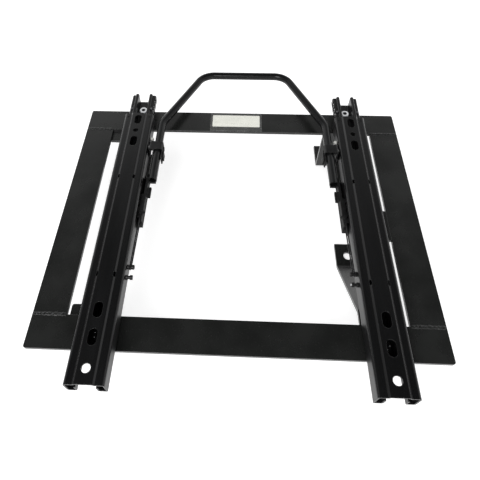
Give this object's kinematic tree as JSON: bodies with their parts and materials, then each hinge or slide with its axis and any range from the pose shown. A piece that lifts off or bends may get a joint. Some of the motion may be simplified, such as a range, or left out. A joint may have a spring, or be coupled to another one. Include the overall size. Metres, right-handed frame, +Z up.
{
  "type": "sliding seat bracket",
  "caption": "Flat-bar frame on bent strap legs that carries two ball-bearing seat slides, with a lift-up release handle that works the slide locks.",
  "frame": {"origin": "on the floor, under the middle of the outline that the rails and the handle make at rest", "axes": "+Z up, +Y towards the front of the car, +X to the right seen from behind the seat"},
  "size_m": [0.5206, 0.557, 0.1171],
  "materials": {
    "bar_paint": "satin",
    "rail_paint": "satin",
    "small_part_paint": "satin",
    "bright_zinc": "satin",
    "ball_steel": "polished",
    "cage_strip": "satin",
    "white_sticker": "smooth",
    "clear_tape": "gloss"
  },
  "bodies": {
    "frame": {"front_cross_bar": "bar_paint", "rear_cross_bar": "bar_paint", "left_side_bar": "bar_paint", "right_side_bar": "bar_paint", "frame_seams": "bar_paint", "left_front_leg": "bar_paint", "left_rear_leg": "bar_paint", "right_front_leg": "bar_paint", "right_rear_leg": "bar_paint", "leg_welds": "bar_paint", "right_rail_tab": "bar_paint", "left_lower_rail": "rail_paint", "right_lower_rail": "rail_paint", "rail_bolts": "bright_zinc", "rail_nuts": "bright_zinc", "left_cage_stops": "bright_zinc", "right_cage_stops": "bright_zinc", "blank_label": "white_sticker", "label_tape": "clear_tape"},
    "left_carriage": {"left_upper_rail": "rail_paint", "left_handle_bracket": "small_part_paint", "left_pivot_pin": "bright_zinc", "left_hinge_bracket": "small_part_paint", "left_hinge_pin": "small_part_paint", "left_spring_studs": "bright_zinc", "left_lock_spring": "small_part_paint", "left_handle_spring": "bright_zinc"},
    "left_ball_set": {"left_upper_cages": "cage_strip", "left_lower_cages": "cage_strip", "left_upper_balls": "ball_steel", "left_lower_balls": "ball_steel"},
    "left_lock": {"left_lock_lever": "small_part_paint", "left_lever_rivet": "small_part_paint"},
    "right_carriage": {"right_upper_rail": "rail_paint", "right_handle_bracket": "small_part_paint", "right_pivot_pin": "bright_zinc", "right_hinge_bracket": "small_part_paint", "right_hinge_pin": "small_part_paint", "right_spring_studs": "bright_zinc", "right_lock_spring": "small_part_paint", "right_handle_spring": "bright_zinc"},
    "right_ball_set": {"right_upper_cages": "cage_strip", "right_lower_cages": "cage_strip", "right_upper_balls": "ball_steel", "right_lower_balls": "ball_steel"},
    "right_lock": {"right_lock_lever": "small_part_paint", "right_lever_rivet": "small_part_paint"},
    "handle": {"release_handle": "small_part_paint"}
  },
  "joints": [
    {"name": "left_slide", "type": "slide", "parent": "frame", "child": "left_carriage", "axis": [0, 1, 0], "range_m": [-0.036, 0.144]},
    {"name": "right_slide", "type": "slide", "parent": "frame", "child": "right_carriage", "axis": [0, 1, 0], "range_m": [-0.036, 0.144]},
    {"name": "left_balls_roll", "type": "slide", "parent": "frame", "child": "left_ball_set", "axis": [0, 1, 0], "range_m": [-0.018, 0.072]},
    {"name": "right_balls_roll", "type": "slide", "parent": "frame", "child": "right_ball_set", "axis": [0, 1, 0], "range_m": [-0.018, 0.072]},
    {"name": "handle_lift", "type": "hinge", "parent": "left_carriage", "child": "handle", "pos_m": [0.00585, 0.08245, 0.10796], "axis": [1, 0, 0], "range_deg": [-3.5, 3.5]},
    {"name": "left_lock_turn", "type": "hinge", "parent": "left_carriage", "child": "left_lock", "pos_m": [-0.1396, -0.01955, 0.0925], "axis": [0, 1, 0], "range_deg": [-17.5, 17.5]},
    {"name": "right_lock_turn", "type": "hinge", "parent": "right_carriage", "child": "right_lock", "pos_m": [0.1499, -0.01955, 0.0925], "axis": [0, 1, 0], "range_deg": [-17.5, 17.5]}
  ],
  "couplings": [
    {"joint": "right_slide", "follows": "left_slide", "ratio": 1},
    {"joint": "left_balls_roll", "follows": "left_slide", "ratio": 0.5},
    {"joint": "right_balls_roll", "follows": "left_slide", "ratio": 0.5},
    {"joint": "left_lock_turn", "follows": "handle_lift", "ratio": 5},
    {"joint": "right_lock_turn", "follows": "handle_lift", "ratio": -5}
  ]
}
